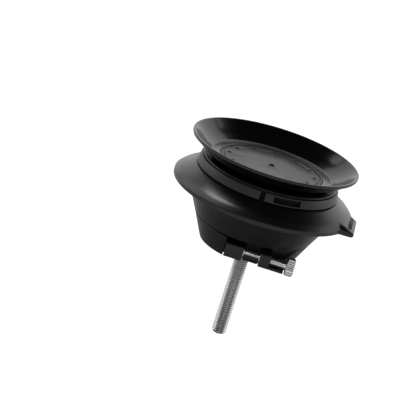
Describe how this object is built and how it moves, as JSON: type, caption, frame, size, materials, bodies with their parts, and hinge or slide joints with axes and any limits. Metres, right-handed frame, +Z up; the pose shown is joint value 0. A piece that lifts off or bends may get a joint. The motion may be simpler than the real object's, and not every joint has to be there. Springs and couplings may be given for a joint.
{
  "type": "stem cap phone mount",
  "caption": "Round phone mount with a rubber suction cup, a thumb ring that lets air in to release the phone, and a hinged base cap on a long bolt.",
  "frame": {"origin": "centre of the base cap's seat face, on the cap bolt's axis", "axes": "+Z up the cap bolt towards the suction cup, -Y towards the hinge, +X along the hinge towards the knurled screw head"},
  "size_m": [0.0624, 0.0606, 0.0678],
  "materials": {
    "base_plastic": "satin black moulding",
    "bolt_steel": "plain bright zinc",
    "washer_steel": "plain",
    "insert_brass": "turned",
    "screw_steel": "bright",
    "housing_plastic": "satin black moulding",
    "collar_plastic": "fine matte black",
    "slip_plastic": "slippery white",
    "band_plastic": "satin black",
    "ring_plastic": "satin to gloss black",
    "bridge_steel": "pressed",
    "spring_steel": "drawn wire",
    "valve_plastic": "plain",
    "keeper_steel": "stamped",
    "carrier_plastic": "plain",
    "magnet_nickel": "nickel plate",
    "seal_rubber": "smooth",
    "cup_rubber": "smooth, slightly glossy",
    "plate_plastic": "fine grained black"
  },
  "bodies": {
    "base": {"base_cap": "base_plastic", "cap_bolt": "bolt_steel", "bolt_washer": "washer_steel", "threaded_insert": "insert_brass", "hinge_washers": "washer_steel"},
    "clamp_screw": {"clamp_screw": "screw_steel"},
    "head": {"housing": "housing_plastic", "housing_screws": "screw_steel", "collar": "collar_plastic", "slip_washer": "slip_plastic", "retaining_band": "band_plastic", "valve_spring": "spring_steel", "keeper_plate": "keeper_steel", "magnet_carrier": "carrier_plastic", "magnets": "magnet_nickel", "seal_ring": "seal_rubber", "suction_cup": "cup_rubber", "centre_plate": "plate_plastic"},
    "release_ring": {"release_ring": "ring_plastic", "cam_bridge": "bridge_steel", "return_spring": "spring_steel"},
    "valve": {"valve_stem": "valve_plastic"}
  },
  "joints": [
    {"name": "head_fold", "type": "hinge", "parent": "base", "child": "head", "pos_m": [0, -0.0162, 0.0037], "axis": [1, 0, 0], "range_deg": [0, 70]},
    {"name": "clamp_screw_turn", "type": "hinge", "parent": "base", "child": "clamp_screw", "pos_m": [0.0154, -0.0162, 0.0037], "axis": [1, 0, 0], "continuous": true},
    {"name": "ring_turn", "type": "hinge", "parent": "head", "child": "release_ring", "pos_m": [0, 0, 0.0215], "axis": [0, 0, 1], "range_deg": [0, 25], "stiffness_Nm_per_rad": 0.1, "springref_deg": -11.46},
    {"name": "valve_slide", "type": "slide", "parent": "head", "child": "valve", "axis": [0, 0, -1], "range_m": [0, 0.001], "deforming": ["valve_spring"]}
  ],
  "couplings": [
    {"joint": "valve_slide", "follows": "ring_turn", "m_per_rad": 0.0022918}
  ]
}
